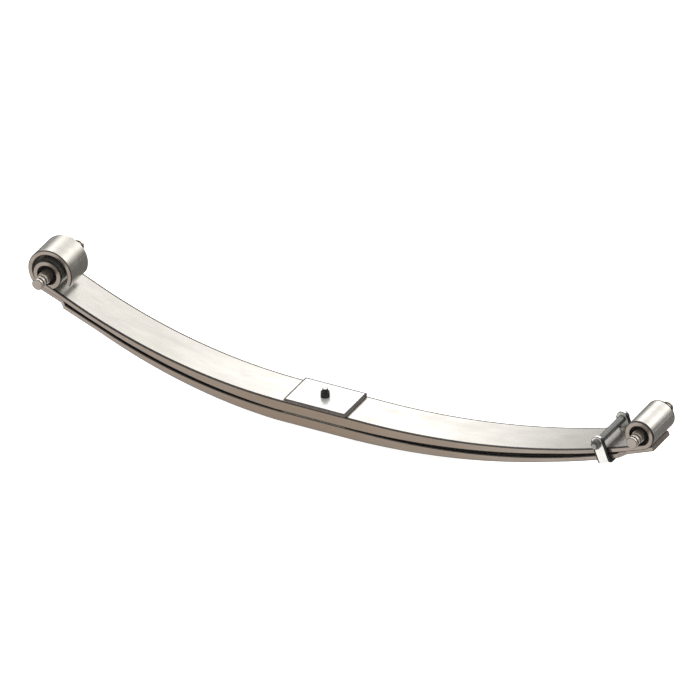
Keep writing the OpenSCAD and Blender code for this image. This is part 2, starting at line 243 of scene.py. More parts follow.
MAIN_FRONT = Arm(FRONT_ARM, FRONT_RISE, FRONT_FLAT, FRONT_LEAD, EYE_R, FRONT_TAPER_END)
MAIN_REAR = Arm(REAR_ARM, REAR_RISE, REAR_FLAT, REAR_LEAD, EYE_R, REAR_TAPER_END)
SECOND_FRONT = Arm(FRONT_ARM, FRONT_RISE + SECOND_DROP, FRONT_FLAT, SECOND_FRONT_LEAD, WRAP_R,
                   FRONT_TAPER_END)
SECOND_REAR = Arm(REAR_ARM, REAR_RISE + SECOND_DROP, REAR_FLAT, SECOND_REAR_LEAD,
                  EYE_OUT_R + TONGUE_SPACE, REAR_TAPER_END, TONGUE_OVERRUN)


def arm_stations(arm, base, corners=()):
    """(top, bottom, x) along an arm, with a station at each corner of its plan."""
    places = {arm.end * i / ARM_STEPS for i in range(ARM_STEPS + 1)}
    places |= {x for x in (TAPER_START, arm.flat, arm.taper_end, *corners) if x < arm.end}
    return [(*arm.face_pair(x, base), x) for x in sorted(places)]


def rolled_stations(centre, reach, slope, r_in, r_out, in_end, out_end):
    """(inner, outer, x) round an eye or wrap, from under its centre. The end angles differ where the leaf's
    end is cut on a slant."""
    start = slope - RIGHT_TURN
    found = []
    for i in range(1, EYE_STEPS + 1):
        share = i / EYE_STEPS
        a_in, a_out = (start + (end - start) * share for end in (in_end, out_end))
        found.append(((reach + r_in * math.cos(a_in), centre.z + r_in * math.sin(a_in)),
                      (reach + r_out * math.cos(a_out), centre.z + r_out * math.sin(a_out)), reach))
    return found


def eye_stations(centre, reach, arm):
    """The upturned eye, whose end face stands a seam above the leaf."""
    cut = EYE_R - ROLL_SEAM
    ends = [arm.slope + math.pi + math.asin(cut / r) for r in (EYE_R, EYE_OUT_R)]
    return rolled_stations(centre, reach, arm.slope, EYE_R, EYE_OUT_R, *ends)


def wrap_stations(centre, reach, arm):
    """The wrap round the outside of the eye, whose end face points at the eye's centre."""
    end = math.pi + WRAP_END
    return rolled_stations(centre, reach, arm.slope, WRAP_R, WRAP_R + TIP_T, end, end)


def leaf_line(front, rear):
    """Joins two arms' stations into one line from the front end to the rear end."""
    mirrored = [((-t[0], t[1]), (-b[0], b[1]), x) for t, b, x in reversed(front)]
    return mirrored[:-1] + rear


# ---- geometry node trees ----

class Nodes:
    """Adds nodes to a tree and links them."""

    def __init__(self, tree):
        self.nodes, self.links = tree.nodes, tree.links

    def feed(self, socket, value):
        if isinstance(value, bpy.types.NodeSocket):
            self.links.new(value, socket)
        else:
            socket.default_value = value

    def add(self, kind, inputs=None, **settings):
        node = self.nodes.new(kind)
        for key, value in settings.items():
            setattr(node, key, value)
        for key, value in (inputs or {}).items():
            self.feed(node.inputs[key], value)
        return node


class Tree(Nodes):
    """A geometry node tree with named inputs."""

    def __init__(self, name, inputs):
        self.tree = bpy.data.node_groups.new(name, "GeometryNodeTree")
        super().__init__(self.tree)
        face = self.tree.interface
        face.new_socket("Geometry", in_out="INPUT", socket_type="NodeSocketGeometry")
        self.ids = {}
        for label, kind in inputs:
            self.ids[label] = face.new_socket(label, in_out="INPUT", socket_type=kind).identifier
        face.new_socket("Geometry", in_out="OUTPUT", socket_type="NodeSocketGeometry")
        self.start = self.add("NodeGroupInput")
        self.end = self.add("NodeGroupOutput")

    def math(self, operation, *values):
        return self.add("ShaderNodeMath", dict(enumerate(values)), operation=operation).outputs[0]

    def named(self, name, kind="FLOAT"):
        node = self.add("GeometryNodeInputNamedAttribute", {"Name": name}, data_type=kind)
        return node.outputs["Attribute"]

    def store(self, geometry, name, value, kind="FLOAT"):
        inputs = {"Geometry": geometry, "Name": name, "Value": value}
        node = self.add("GeometryNodeStoreNamedAttribute", inputs, data_type=kind, domain="POINT")
        return node.outputs["Geometry"]

    def finish(self, geometry):
        joined = self.add("GeometryNodeRealizeInstances", {"Geometry": geometry}).outputs[0]
        inputs = {"Geometry": joined, "Material": self.start.outputs["Finish"]}
        dressed = self.add("GeometryNodeSetMaterial", inputs)
        self.feed(self.end.inputs[0], dressed.outputs[0])


def section_bar_tree():
    """Sweeps a round-cornered section along a line of stations. Each station brings its own half width and
    the vector through the bar, so the bar tapers, narrows and rolls up as its line does."""
    t = Tree("section_bar", [("Edge radius", "NodeSocketFloat"), ("Finish", "NodeSocketMaterial")])
    edge = t.start.outputs["Edge radius"]
    core = t.math("MULTIPLY", edge, 2.0)
    size = t.math("MULTIPLY", edge, 4.0)
    square = t.add("GeometryNodeCurvePrimitiveQuadrilateral", {"Width": size, "Height": size})
    round_off = t.add("GeometryNodeFilletCurve", {"Curve": square.outputs[0], "Radius": edge, "Count": 4},
                      mode="POLY")
    place = t.add("ShaderNodeSeparateXYZ", {0: t.add("GeometryNodeInputPosition").outputs[0]})
    section = t.store(round_off.outputs[0], "across", place.outputs["X"])
    section = t.store(section, "down", place.outputs["Y"])
    line = t.add("GeometryNodeMeshToCurve", {"Mesh": t.start.outputs["Geometry"]})
    line = t.store(line.outputs[0], "station", t.add("GeometryNodeInputPosition").outputs[0], "FLOAT_VECTOR")
    swept = t.add("GeometryNodeCurveToMesh", {"Curve": line, "Profile Curve": section, "Fill Caps": True})

    def stretched(local, half):
        sign = t.math("SIGN", local)
        return t.math("ADD", t.math("MULTIPLY", sign, t.math("SUBTRACT", half, core)), local)

    through = t.named("through", "FLOAT_VECTOR")
    thick = t.add("ShaderNodeVectorMath", {0: through}, operation="LENGTH").outputs["Value"]
    across = stretched(t.named("across"), t.named("half_width"))
    level = stretched(t.named("down"), t.math("MULTIPLY", thick, 0.5))
    share = t.math("SUBTRACT", 0.5, t.math("DIVIDE", level, thick))
    sunk = t.add("ShaderNodeVectorMath", {0: through, "Scale": share}, operation="SCALE").outputs[0]
    side = t.add("ShaderNodeCombineXYZ", {"Y": across}).outputs[0]
    moved = t.add("ShaderNodeVectorMath", {0: t.named("station", "FLOAT_VECTOR"), 1: sunk}, operation="ADD")
    moved = t.add("ShaderNodeVectorMath", {0: moved.outputs[0], 1: side}, operation="ADD").outputs[0]
    shaped = t.add("GeometryNodeSetPosition", {"Geometry": swept.outputs[0], "Position": moved}).outputs[0]
    t.finish(shaped)
    return t


def screw_tree():
    """A threaded bolt end along +Z: a helical groove, a chamfer and a closed tip and root."""
    t = Tree("screw_end", [("Radius", "NodeSocketFloat"), ("Length", "NodeSocketFloat"),
                           ("Pitch", "NodeSocketFloat"), ("Depth", "NodeSocketFloat"),
                           ("Chamfer", "NodeSocketFloat"), ("Rows", "NodeSocketInt"),
                           ("Finish", "NodeSocketMaterial")])
    size = t.start.outputs
    grid = t.add("GeometryNodeMeshGrid", {"Size X": 1.0, "Size Y": 1.0, "Vertices X": THREAD_STEPS + 1,
                                          "Vertices Y": size["Rows"]})
    place = t.add("ShaderNodeSeparateXYZ", {0: t.add("GeometryNodeInputPosition").outputs[0]})
    turn = t.math("ADD", place.outputs["X"], 0.5)
    along = t.math("ADD", place.outputs["Y"], 0.5)
    z = t.math("MULTIPLY", along, size["Length"])
    turns = t.math("ADD", t.math("DIVIDE", z, size["Pitch"]), turn)
    wave = t.math("PINGPONG", turns, 0.5)
    flank = t.math("MULTIPLY", t.math("SMOOTH_MIN", wave, 0.42, 0.08), t.math("MULTIPLY", size["Depth"], 2.2))
    body_r = t.math("SUBTRACT", size["Radius"], flank)
    left = t.math("SUBTRACT", size["Length"], z)
    cone_r = t.math("ADD", t.math("SUBTRACT", size["Radius"], size["Chamfer"]), left)
    r = t.math("MINIMUM", body_r, cone_r)
    inside = t.math("MULTIPLY", t.math("GREATER_THAN", along, 0.0001), t.math("LESS_THAN", along, 0.9999))
    r = t.math("MULTIPLY", r, inside)
    rows_in = t.math("DIVIDE", 1.0, t.math("SUBTRACT", size["Rows"], 1.0))
    between = t.math("SUBTRACT", 1.0, t.math("MULTIPLY", rows_in, 2.0))
    share = t.math("DIVIDE", t.math("SUBTRACT", along, rows_in), between)
    snapped = t.math("MULTIPLY", share, size["Length"])
    z = t.math("MINIMUM", t.math("MAXIMUM", snapped, 0.0), size["Length"])
    angle = t.math("MULTIPLY", turn, 2 * math.pi)
    spot = t.add("ShaderNodeCombineXYZ", {"X": t.math("MULTIPLY", r, t.math("COSINE", angle)),
                                          "Y": t.math("MULTIPLY", r, t.math("SINE", angle)), "Z": z})
    shaped = t.add("GeometryNodeSetPosition", {"Geometry": grid.outputs["Mesh"], "Position": spot.outputs[0]})
    welded = t.add("GeometryNodeMergeByDistance", {"Geometry": shaped.outputs[0], "Distance": WELD})
    t.finish(welded.outputs[0])
    return t


def in_scene(name, data):
    """A new object in the scene."""
    made = bpy.data.objects.new(name, data)
    bpy.context.scene.collection.objects.link(made)
    return made


def baked(work, name):
    """The plain mesh that a work object's modifiers give. The work object is removed."""
    depsgraph = bpy.context.evaluated_depsgraph_get()
    made = bpy.data.meshes.new_from_object(work.evaluated_get(depsgraph), depsgraph=depsgraph)
    bpy.data.objects.remove(work)
    made.name = name
    return made


def grown(name, mesh, tree, **values):
    """Runs a tree on a mesh with its named inputs, and returns the plain mesh that comes out."""
    seed = in_scene(name + "_line", mesh)
    rule = seed.modifiers.new("rule", "NODES")
    rule.node_group = tree.tree
    for label, value in values.items():
        rule[tree.ids[label.replace("_", " ")]] = value
    return baked(seed, name)


# ---- mesh work ----

def outward(bm):
    bmesh.ops.recalc_face_normals(bm, faces=bm.faces)
    if bm.calc_volume(signed=True) < 0:
        bmesh.ops.reverse_faces(bm, faces=bm.faces)


def mesh_of(bm, name, finishes=()):
    """A named mesh with its finishes, from a bmesh that is then freed."""
    mesh = bpy.data.meshes.new(name)
    bm.to_mesh(mesh)
    bm.free()
    for finish in finishes:
        mesh.materials.append(finish)
    return mesh


def placed(name, mesh, body, place=None, stands_for=()):
    """Puts a finished mesh in the scene as a piece."""
    bm = bmesh.new()
    bm.from_mesh(mesh)
    if place is not None:
        bm.transform(place)
    outward(bm)
    bm.to_mesh(mesh)
    bm.free()
    mesh.shade_smooth()
    mesh.set_sharp_from_angle(angle=SMOOTH)
    piece = in_scene(name, mesh)
    even = piece.modifiers.new("even_shading", "WEIGHTED_NORMAL")
    even.keep_sharp = True
    even.weight = 100
    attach(piece, body)
    if stands_for:
        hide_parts(*stands_for)
    return piece


def redress(mesh, finish, wanted):
    """Gives another finish to the faces whose normal and centre are wanted."""
    mesh.materials.append(finish)
    last = len(mesh.materials) - 1
    for face in mesh.polygons:
        if wanted(face.normal, face.center):
            face.material_index = last


def bar_mesh(name, line, half_width, finish):
    """A leaf from its line of stations; half_width gives the leaf's half width at a station."""
    mesh = bpy.data.meshes.new(name + "_line")
    tops = [(t[0], 0, t[1]) for t, b, x in line]
    mesh.from_pydata(tops, [(i, i + 1) for i in range(len(tops) - 1)], [])
    mesh.attributes.new("through", "FLOAT_VECTOR", "POINT")
    mesh.attributes.new("half_width", "FLOAT", "POINT")
    through, half = mesh.attributes["through"], mesh.attributes["half_width"]
    for i, (t, b, x) in enumerate(line):
        through.data[i].vector = (b[0] - t[0], 0, b[1] - t[1])
        half.data[i].value = half_width(x, t[0])
    return grown(name, mesh, SECTION_BAR, Edge_radius=LEAF_EDGE, Finish=finish)


def eased(profile, radius, steps=3, closed=False):
    """Rounds the corners of a turned profile of (radius, along) points."""
    count = len(profile)
    out = []
    for i, point in enumerate(profile):
        here = Vector(point)
        if not closed and i in (0, count - 1):
            out.append(here)
            continue
        before, after = Vector(profile[i - 1]) - here, Vector(profile[(i + 1) % count]) - here
        cut = min(radius, 0.45 * before.length, 0.45 * after.length)
        a, b = here + before.normalized() * cut, here + after.normalized() * cut
        for k in range(steps + 1):
            s = k / steps
            out.append(a * (1 - s) ** 2 + here * 2 * s * (1 - s) + b * s ** 2)
    return out


def turned(name, profile, place, closed=False, dark=None, finishes=()):
    """Turns a profile of (radius, along) points about +Z, then puts it in place. dark(r, along) picks the
    faces that take the second finish."""
    bm = bmesh.new()
    angles = [2 * math.pi * k / TURN_STEPS for k in range(TURN_STEPS)]
    rings = []
    for r, along in profile:
        if r < 1e-7:
            rings.append([bm.verts.new((0, 0, along))])
        else:
            rings.append([bm.verts.new((r * math.cos(a), r * math.sin(a), along)) for a in angles])
    pairs = list(zip(rings, rings[1:])) + ([(rings[-1], rings[0])] if closed else [])
    ends = list(zip(profile, profile[1:])) + ([(profile[-1], profile[0])] if closed else [])
    for (one, two), (p, q) in zip(pairs, ends):
        which = int(bool(dark and dark((p[0] + q[0]) / 2, (p[1] + q[1]) / 2)))
        for k in range(TURN_STEPS):
            n = (k + 1) % TURN_STEPS
            corners = [one[k % len(one)], one[n % len(one)], two[n % len(two)], two[k % len(two)]]
            face = bm.faces.new(list(dict.fromkeys(corners)))
            face.material_index = which
    bm.transform(place)
    return mesh_of(bm, name, finishes)


def hex_mesh(name, flats, height, bore, place, finish):
    """A hexagon with its corners turned off at both faces, with a bore or solid. A corner lies along x."""
    half, corner = flats / 2, flats / (2 * math.cos(math.pi / 6))
    face_r = half * HEX_FACE_SHARE
    bm = bmesh.new()
    columns = []
    for k in range(TURN_STEPS):
        a = 2 * math.pi * k / TURN_STEPS
        off = a % (math.pi / 3) - math.pi / 6
        r = min(half / math.cos(off), corner - HEX_EASE)
        drop = (r - face_r) * math.tan(math.pi / 6)
        path = [(face_r, 0.0), (r, drop), (r, height - drop), (face_r, height)]
        if bore:
            mouth = bore + HEX_MOUTH
            path = [(bore, HEX_MOUTH), (mouth, 0.0)] + path + [(mouth, height), (bore, height - HEX_MOUTH)]
        columns.append([bm.verts.new((q * math.cos(a), q * math.sin(a), z)) for q, z in path])
    for k, one in enumerate(columns):
        two = columns[(k + 1) % TURN_STEPS]
        for i in range(len(one) - (0 if bore else 1)):
            j = (i + 1) % len(one)
            bm.faces.new((one[i], two[i], two[j], one[j]))
    if not bore:
        bm.faces.new([c[0] for c in columns])
        bm.faces.new([c[-1] for c in columns])
    bm.transform(place)
    return mesh_of(bm, name, [finish])


def eased_copy(node, name, width, finish, edge_finish, segments=3, wanted=lambda at: True):
    """A merged copy of a CAD node. Its sharp edges with a wanted middle are rounded, in a second finish."""
    source = frame["nodes"][node]
    bm = bmesh.new()
    bm.from_mesh(source.data)
    bmesh.ops.remove_doubles(bm, verts=bm.verts, dist=WELD)
    bmesh.ops.dissolve_limit(bm, angle_limit=math.radians(0.5), verts=bm.verts, edges=bm.edges)
    weight = bm.edges.layers.float.new("bevel_weight_edge")
    for edge in bm.edges:
        middle = (edge.verts[0].co + edge.verts[1].co) / 2
        if edge.is_manifold and edge.calc_face_angle() > SHARP and wanted(middle):
            edge[weight] = 1.0
    mesh = mesh_of(bm, name)
    if "custom_normal" in mesh.attributes:
        mesh.attributes.remove(mesh.attributes["custom_normal"])
    mesh.materials.clear()
    mesh.materials.append(finish)
    mesh.materials.append(edge_finish)
    work = in_scene(name + "_work", mesh)
    ease = work.modifiers.new("ease", "BEVEL")
    ease.limit_method = "WEIGHT"
    ease.use_clamp_overlap = False
    ease.width = width
    ease.segments = segments
    ease.material = 1
    return baked(work, name)


# ---- finishes ----

NOISE_ROUGHNESS = 0.55


class Finish(Nodes):
    """A procedural material with a few helpers for its nodes."""

    def __init__(self, name):
        self.material = bpy.data.materials.new(name)
        self.material.use_nodes = True
        super().__init__(self.material.node_tree)
        self.shader = self.nodes["Principled BSDF"]
        self.place = self.add("ShaderNodeTexCoord").outputs["Object"]

    def noise(self, scale, stretch=(1, 1, 1), detail=4.0):
        spread = self.add("ShaderNodeMapping", {"Vector": self.place, "Scale": stretch})
        return self.add("ShaderNodeTexNoise", {"Vector": spread.outputs[0], "Scale": scale, "Detail": detail,
                                               "Roughness": NOISE_ROUGHNESS}).outputs["Fac"]

    def ramp(self, value, low, high, from_low=0.35, from_high=0.65):
        return self.add("ShaderNodeMapRange", {"Value": value, "From Min": from_low, "From Max": from_high,
                                               "To Min": low, "To Max": high}).outputs[0]

    def blend(self, share, one, two):
        node = self.add("ShaderNodeMix", {"Factor": share}, data_type="RGBA")
        for socket, value in ((node.inputs[6], one), (node.inputs[7], two)):
            self.feed(socket, value if isinstance(value, bpy.types.NodeSocket) else (*value, 1))
        return node.outputs[2]

    def seat_shade(self):
        """How much painted shade a leaf's side gets: the full share over the seat, falling to 0 out along the
        arms.
        """
        along = self.add("ShaderNodeSeparateXYZ", {0: self.place}).outputs["X"]
        away = self.add("ShaderNodeMath", {0: along}, operation="ABSOLUTE").outputs[0]
        return self.ramp(away, SEAT_SHADE_SHARE, 0, PLATE_LEN / 2, FRONT_ARM)

    def past(self, along, limit, middle=0.0):
        """1 where the distance from the middle, along a direction, is past the limit, after a soft step."""
        place = self.add("ShaderNodeVectorMath", {0: self.place, 1: along}, operation="DOT_PRODUCT")
        off = self.add("ShaderNodeMath", {0: place.outputs["Value"], 1: middle}, operation="SUBTRACT")
        away = self.add("ShaderNodeMath", {0: off.outputs[0]}, operation="ABSOLUTE").outputs[0]
        return self.ramp(away, 0, 1, limit - SOFT_STEP, limit)

    def outside(self, radius):
        """1 where the distance from the centre bolt's axis is past a radius, after a soft step."""
        flat = self.add("ShaderNodeVectorMath", {0: self.place, 1: (1, 1, 0)}, operation="MULTIPLY")
        away = self.add("ShaderNodeVectorMath", {0: flat.outputs[0]}, operation="LENGTH").outputs["Value"]
        return self.ramp(away, 0, 1, radius - SOFT_STEP, radius)

    def bumped(self, *layers):
        """Adds bump layers of (height, distance in metres, strength)."""
        normal = None
        for height, distance, strength in layers:
            inputs = {"Height": height, "Distance": distance, "Strength": strength}
            if normal is not None:
                inputs["Normal"] = normal
            normal = self.add("ShaderNodeBump", inputs).outputs[0]
        self.links.new(normal, self.shader.inputs["Normal"])

    def set(self, colour, roughness, metallic=0.0, specular=0.5):
        self.links.new(colour, self.shader.inputs["Base Color"])
        self.links.new(roughness, self.shader.inputs["Roughness"])
        self.shader.inputs["Metallic"].default_value = metallic
        self.shader.inputs["Specular IOR Level"].default_value = specular
        return self.material


def rolled_steel(name, light, dark, rim=RIM):
    """Shot-peened, oiled spring steel: fine dimples, long rolling streaks and faint darker scale, with dark
    rims along both sides. A rim of 0 leaves the rims out and paints shade instead: darker and browner near
    the seat."""
    f = Finish(name)
    streaks = f.noise(9, (0.5, 6, 6), 5)
    cloud = f.noise(14, (1, 1.6, 1.6), 4)
    grain = f.noise(900, (1, 1, 1), 2)
    tone = f.blend(f.ramp(streaks, 0, 1), dark, light)
    tone = f.blend(f.ramp(cloud, 0, 0.35, 0.5, 0.75), tone, tuple(c * 0.88 for c in dark))
    if not rim:
        # painted shade: darker and browner towards the seat
        tone = f.blend(f.seat_shade(), tone, SEAT_SHADE_TONE)
    else:
        tone = f.blend(f.past(ALONG_Y, LEAF_W / 2 - LEAF_EDGE - rim), tone, RIM_TONE)
    peen = f.add("ShaderNodeTexVoronoi", {"Vector": f.place, "Scale": 700}).outputs["Distance"]
    f.bumped((peen, 0.00006, 0.35), (grain, 0.00004, 0.3), (streaks, 0.0002, 0.1))
    return f.set(tone, f.ramp(cloud, 0.22, 0.30), metallic=0.92)


def ground_steel(name, light, dark, rims=()):
    """Ground steel: bright, with fine scratches along X, faint stains, and a dark tone wherever a rim is."""
    f = Finish(name)
    lay = f.noise(60, (0.4, 12, 12), 3)
    stain = f.noise(22, (1, 1, 1), 4)
    tone = f.blend(f.ramp(lay, 0, 1), dark, light)
    tone = f.blend(f.ramp(stain, 0, 0.35, 0.55, 0.75), tone, tuple(c * 0.85 for c in dark))
    for rim in rims:
        tone = f.blend(rim(f), tone, RIM_TONE)
    f.bumped((lay, 0.00004, 0.25), (stain, 0.0001, 0.08))
    return f.set(tone, f.ramp(stain, 0.3, 0.42), metallic=0.6)


def turned_steel(name, light, dark):
    """Turned bar: fine rings round the Y axis, and a thin film of oil."""
    f = Finish(name)
    rings = f.noise(500, (0.02, 1, 0.02), 3)
    film = f.noise(40, (1, 1, 1), 4)
    tone = f.blend(f.ramp(rings, 0, 1), dark, light)
    tone = f.blend(f.ramp(film, 0, 0.3, 0.5, 0.75), tone, tuple(c * 0.8 for c in dark))
    f.bumped((rings, 0.00005, 0.3))
    return f.set(tone, f.ramp(film, 0.22, 0.36), metallic=0.75)


def dark_metal(name, light, dark, metallic=0.0, rough=(0.35, 0.5), specular=0.15):
    """Dull metal, such as black oxide, phosphate or oiled scale, and the dark tones of painted shade:
    mottled, with lighter rubbed patches.
    """
    f = Finish(name)
    mottle = f.noise(160, (1, 1, 1), 5)
    rub = f.noise(70, (1, 1, 1), 3)
    tone = f.blend(f.ramp(mottle, 0, 1), dark, light)
    tone = f.blend(f.ramp(rub, 0, 0.4, 0.6, 0.75), tone, tuple(min(1, c * 1.8) for c in light))
    f.bumped((mottle, 0.00005, 0.3))
    return f.set(tone, f.ramp(rub, *rough), metallic=metallic, specular=specular)


def moulded_rubber(name, light, dark):
    """Black rubber or plastic, with a faint bloom and a fine moulded grain."""
    f = Finish(name)
    bloom = f.noise(90, (1, 1, 1), 4)
    grain = f.noise(1400, (1, 1, 1), 2)
    tone = f.blend(f.ramp(bloom, 0, 1), dark, light)
    f.bumped((grain, 0.00005, 0.4), (bloom, 0.0002, 0.15))
    return f.set(tone, f.ramp(bloom, 0.55, 0.75), specular=0.08)


LEAF_STEEL = rolled_steel("rolled_leaf", (0.37, 0.355, 0.332), (0.335, 0.320, 0.298))
SECOND_STEEL = rolled_steel("rolled_second_leaf", (0.34, 0.322, 0.298), (0.30, 0.282, 0.258))
# Painted shade: a darker, browner copy of the leaf steel for the leaves' side faces
LEAF_SIDE_SHADE = rolled_steel("leaf_side", (0.245, 0.210, 0.182), (0.205, 0.172, 0.147), rim=0)
PLATE_STEEL = ground_steel("ground_plate", (0.50, 0.495, 0.485), (0.46, 0.455, 0.445),
                           [lambda f: f.past(ALONG_X, PLATE_LEN / 2 - PLATE_EDGE - RIM),
                            lambda f: f.past(ALONG_Y, LEAF_W / 2 - PLATE_EDGE - RIM)])
# Painted shade: the plate's side faces and the second leaf's rear end face, dark as if in shadow
SIDE_AND_END_SHADE = dark_metal("painted_side_and_end_shade", (0.09, 0.075, 0.065), (0.05, 0.042, 0.036))
EDGE_OIL = dark_metal("edge_oil", (0.03, 0.027, 0.024), (0.012, 0.011, 0.010))
PIN_STEEL = turned_steel("turned_pin", (0.50, 0.47, 0.43), (0.42, 0.39, 0.35))
# Painted shade: a darker copy of the pin steel for the pins' end faces
PIN_END_SHADE = turned_steel("pin_end_painted_shade", (0.25, 0.217, 0.190), (0.21, 0.182, 0.158))
# Painted shade: for the pins' grooves and for the pin's collar inside the bush
PIN_RECESS_SHADE = dark_metal("pin_recess_painted_shade", (0.035, 0.029, 0.024), (0.02, 0.016, 0.014))
BLACK_OXIDE = dark_metal("black_oxide", (0.012, 0.012, 0.013), (0.006, 0.006, 0.007))
GREY_PHOSPHATE = dark_metal("grey_phosphate", (0.075, 0.073, 0.07), (0.04, 0.039, 0.037))
BOLT_FACE = dark_metal("bolt_face", (0.22, 0.21, 0.20), (0.17, 0.16, 0.15))
SCREW_FACE = ground_steel("screw_face", (0.50, 0.49, 0.475), (0.42, 0.41, 0.395),
                          [lambda f: f.outside(CENTRE_BOLT_D * SCREW_FACE_SHARE)])
TUBE_STEEL = dark_metal("tube_metal", (0.10, 0.10, 0.097), (0.065, 0.065, 0.063), 0.9, (0.26, 0.36))
SHELL_STEEL = dark_metal("shell_metal", (0.010, 0.008, 0.007), (0.006, 0.005, 0.004))
# Painted shade: the liner is made dark to stand for the shade in the gap between the leaves
LINER_GAP_SHADE = dark_metal("zinc_liner_painted_gap_shade", (0.10, 0.09, 0.08), (0.05, 0.045, 0.04))
BUSH_RUBBER = moulded_rubber("black_rubber", (0.007, 0.0055, 0.005), (0.004, 0.003, 0.003))
PAD_PLASTIC = moulded_rubber("black_plastic", (0.035, 0.034, 0.033), (0.02, 0.02, 0.019))

SECTION_BAR = section_bar_tree()
SCREW_END = screw_tree()


# ---- pieces ----

def dress_bar(mesh):
    """Painted shade on a leaf's side faces, and the edge finish on its rounds. The shoulders of a narrowed
    end, cut at 45 degrees, count as side faces."""
    def side(n):
        return abs(n.y) > LEAF_SIDE_FROM or SHOULDER_FROM < abs(n.y) < SHOULDER_TO

    redress(mesh, LEAF_SIDE_SHADE, lambda n, at: side(n))
    redress(mesh, EDGE_OIL, lambda n, at: abs(n.y) > LEAF_ROUND_FROM and not side(n))


def main_leaf():
    front = arm_stations(MAIN_FRONT, MAIN_TOP) + eye_stations(FRONT_EYE, FRONT_ARM, MAIN_FRONT)
    rear = arm_stations(MAIN_REAR, MAIN_TOP) + eye_stations(REAR_EYE, REAR_ARM, MAIN_REAR)
    mesh = bar_mesh("main_leaf_bar", leaf_line(front, rear), lambda x, top_x: LEAF_W / 2, LEAF_STEEL)
    dress_bar(mesh)
    placed("main_leaf_bar", mesh, "spring_pack", stands_for=("main_leaf",))


def second_leaf():
    front_from, rear_from = FRONT_ARM - FRONT_TONGUE, REAR_ARM - REAR_TONGUE

    def half_width(x, top_x):
        past = x - (front_from if top_x < 0 else rear_from)
        return LEAF_W / 2 - min(SHOULDER_W, max(0.0, past))

    front = arm_stations(SECOND_FRONT, SECOND_TOP, (front_from, front_from + SHOULDER_W))
    front += wrap_stations(FRONT_EYE, FRONT_ARM, SECOND_FRONT)
    rear = arm_stations(SECOND_REAR, SECOND_TOP, (rear_from, rear_from + SHOULDER_W))
    mesh = bar_mesh("second_leaf_bar", leaf_line(front, rear), half_width, SECOND_STEEL)
    dress_bar(mesh)
    # painted shade on the second leaf's rear end face
    redress(mesh, SIDE_AND_END_SHADE, lambda n, at: n.x > LEAF_END_FROM and at.x > 0)
    placed("second_leaf_bar", mesh, "spring_pack", stands_for=("wrapper_leaf",))


def screw_end(name, radius, length, finish):
    rows = int(length / THREAD_PITCH * THREAD_ROWS)
    return grown(name, bpy.data.meshes.new(name + "_seed"), SCREW_END, Radius=radius, Length=length,
                 Pitch=THREAD_PITCH, Depth=THREAD_DEPTH, Chamfer=BOLT_CHAMFER, Rows=rows, Finish=finish)


def seat_hardware():
    """The top plate, the centre bolt and its nut."""
    def outline(at):
        return max(abs(at.x) - PLATE_LEN / 2, abs(at.y) - LEAF_W / 2) > -PLATE_EDGE

    plate = eased_copy("top_plate", "seat_plate", PLATE_EDGE, PLATE_STEEL, EDGE_OIL, wanted=outline)
    # painted shade on the plate's side faces
    redress(plate, SIDE_AND_END_SHADE, lambda n, at: abs(n.z) < PLATE_SIDE_TO)
    placed("seat_plate", plate, "spring_pack", stands_for=("top_plate",))

    nut_z = PLATE_TOP - SPOT_DEPTH
    nut_at = Matrix.Translation((0, 0, nut_z))
    nut = hex_mesh("centre_nut", CENTRE_NUT_FLATS, CENTRE_NUT_H, CENTRE_BOLT_D / 2, nut_at, BLACK_OXIDE)
    placed("centre_nut", nut, "spring_pack", stands_for=("centre_bolt_nut",))

    screw = screw_end("centre_bolt_screw", CENTRE_BOLT_D / 2, CENTRE_BOLT_PROUD + SPOT_DEPTH, BLACK_OXIDE)
    redress(screw, SCREW_FACE, lambda n, at: n.z > SCREW_TIP_FROM)
    placed("centre_bolt_screw", screw, "spring_pack", nut_at)
    r, head_r = CENTRE_BOLT_D / 2, CENTRE_HEAD_D / 2
    spot_r = head_r - SPOT_SPACE
    shank = [(0, nut_z), (r, nut_z), (r, SPOT_DEPTH), (spot_r, SPOT_DEPTH), (spot_r, 0), (head_r, 0),
             (head_r, -CENTRE_HEAD_H + HEAD_CHAMFER), (head_r - HEAD_CHAMFER, -CENTRE_HEAD_H),
             (0, -CENTRE_HEAD_H)]
    bolt = turned("centre_bolt_shank", eased(shank, HEAD_EDGE), Matrix.Identity(4), finishes=[BLACK_OXIDE])
    placed("centre_bolt_shank", bolt, "spring_pack", stands_for=("centre_bolt",))


def clip_frame():
    """The rebound clip's own frame, with x along the second leaf and z square to it, and the height of the
    clip bolt in it. The model sets that height from a main leaf that laps a little into its eye."""
    x = REAR_ARM - CLIP_FROM_EYE
    slope = SECOND_REAR.slope_at(x)
    main = Arm(REAR_ARM, REAR_RISE, REAR_FLAT, REAR_LEAD, EYE_R - ROLL_LAP, REAR_TAPER_END)
    main_top = (SECOND_DROP + main.height_at(x) - SECOND_REAR.height_at(x)) * math.cos(slope)
    place = Matrix.Translation((x, 0, SECOND_TOP + SECOND_REAR.height_at(x)))
    return place @ Matrix.Rotation(-slope, 4, "Y"), main_top + TUBE_SPACE + TUBE_D / 2


